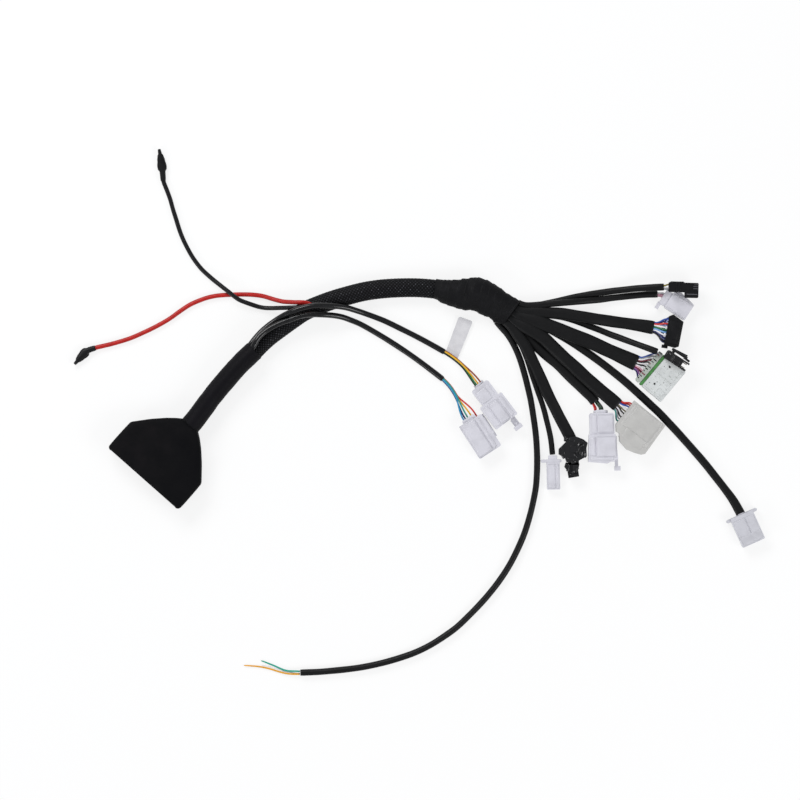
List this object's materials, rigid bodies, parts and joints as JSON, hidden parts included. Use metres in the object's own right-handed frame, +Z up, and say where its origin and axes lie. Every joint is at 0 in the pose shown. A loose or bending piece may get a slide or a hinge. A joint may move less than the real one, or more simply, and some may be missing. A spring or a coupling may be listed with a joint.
{
  "type": "wiring harness",
  "caption": "Vehicle wiring harness lying flat: rubber boot connector, braided trunk, taped junction and a fan of sleeved branches that end in moulded connectors.",
  "frame": {"origin": "on the table under the middle of the boot, neck, trunk and taped junction", "axes": "+X from the boot's side towards the fan of branches, +Y towards the first branch, +Z up from the table"},
  "size_m": [0.6909, 0.5266, 0.0261],
  "materials": {
    "boot_rubber": "soft matte moulded rubber",
    "black_plastic": "moulded nylon, satin",
    "shrink_tube": "heat-shrink tube, satin",
    "braid": "woven polyester sleeve",
    "wire_dark": "insulated wires",
    "tape": "cloth tape, matte",
    "sleeve": "soft sleeve, satin",
    "wire_green": "wire insulation",
    "wire_amber": "wire insulation",
    "lead_black": "wire insulation",
    "lead_red": "wire insulation",
    "vinyl": "soft vinyl cover",
    "tin_plate": "tinned contact",
    "label": "white film label",
    "white_nylon": "natural white nylon",
    "grey_cover": "translucent grey nylon",
    "green_seal": "silicone seal",
    "clear_nylon": "translucent nylon",
    "grey_nylon": "translucent grey nylon",
    "wire_brown": "wire insulation",
    "wire_blue": "wire insulation",
    "wire_olive": "wire insulation",
    "wire_pale": "wire insulation",
    "wire_maroon": "wire insulation",
    "wire_red": "wire insulation"
  },
  "bodies": {
    "root": {"boot": "boot_rubber", "boot_contact_block": "black_plastic", "neck_tube": "shrink_tube", "trunk_braid": "braid", "wire_bundle": "wire_dark", "junction_tape": "tape", "branch_01_sleeve": "sleeve", "branch_02_sleeve": "sleeve", "branch_03_sleeve": "sleeve", "branch_04_sleeve": "sleeve", "branch_05_sleeve": "sleeve", "branch_06_sleeve": "sleeve", "branch_07_sleeve": "sleeve", "branch_08_sleeve": "sleeve", "branch_09_sleeve": "sleeve", "branch_10_sleeve": "sleeve", "branch_11_sleeve": "sleeve", "branch_11_green_wire": "wire_green", "branch_11_amber_wire": "wire_amber", "side_sleeve_1": "sleeve", "side_sleeve_2": "sleeve", "ground_lead": "lead_black", "power_lead": "lead_red", "ground_terminal_cover": "vinyl", "ground_terminal_contact": "tin_plate", "power_terminal_cover": "vinyl", "power_terminal_contact": "tin_plate", "label_flag": "label", "side_connector_1": "white_nylon", "side_connector_2": "white_nylon", "branch_01_connector": "black_plastic", "branch_02_connector": "white_nylon", "branch_03_connector": "black_plastic", "branch_04_connector": "black_plastic", "branch_05_rear_cover": "grey_cover", "branch_05_seal": "green_seal", "branch_05_housing": "clear_nylon", "branch_06_connector": "white_nylon", "branch_07_connector": "grey_nylon", "branch_08_connector": "white_nylon", "branch_09_connector": "black_plastic", "branch_09_nose_plug": "black_plastic", "branch_10_connector": "white_nylon", "side_wires_1": "wire_brown", "side_wires_2": "wire_blue", "branch_01_wires": "wire_olive", "branch_02_wires": "wire_pale", "branch_03_wires": "wire_blue", "branch_05_wires": "wire_maroon", "branch_07_wires": "wire_blue", "branch_08_wires": "wire_red"}
  },
  "joints": []
}
